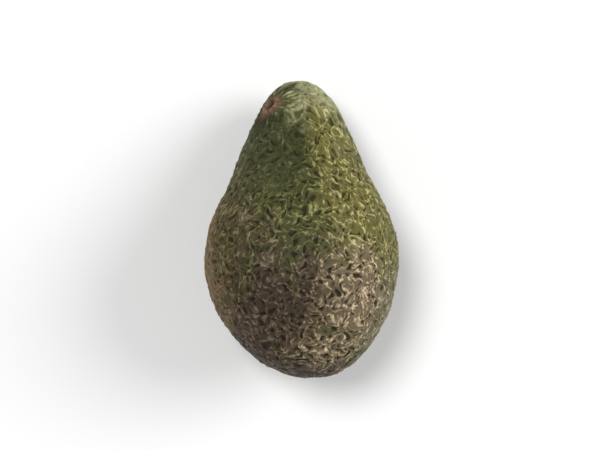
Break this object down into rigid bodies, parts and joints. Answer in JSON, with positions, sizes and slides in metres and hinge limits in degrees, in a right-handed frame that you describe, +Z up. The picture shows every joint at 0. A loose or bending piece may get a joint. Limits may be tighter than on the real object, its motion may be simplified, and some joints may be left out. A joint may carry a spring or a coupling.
{
  "type": "avocado",
  "caption": "Whole ripe Hass avocado: a pear-shaped fruit with thick pebbled rind and a stem scar, lying on its side on a small flat spot.",
  "frame": {"origin": "on the surface that the fruit lies on, under the middle of its bounding box", "axes": "+Y along the fruit towards its stem end, +Z up from the surface, +X across the fruit, with the stem scar on the -X side of the neck"},
  "size_m": [0.0646, 0.1018, 0.062],
  "materials": {
    "skin": "pebbled green to purple-brown rind with a dull waxy sheen"
  },
  "bodies": {
    "root": {"fruit": "skin"}
  },
  "joints": []
}
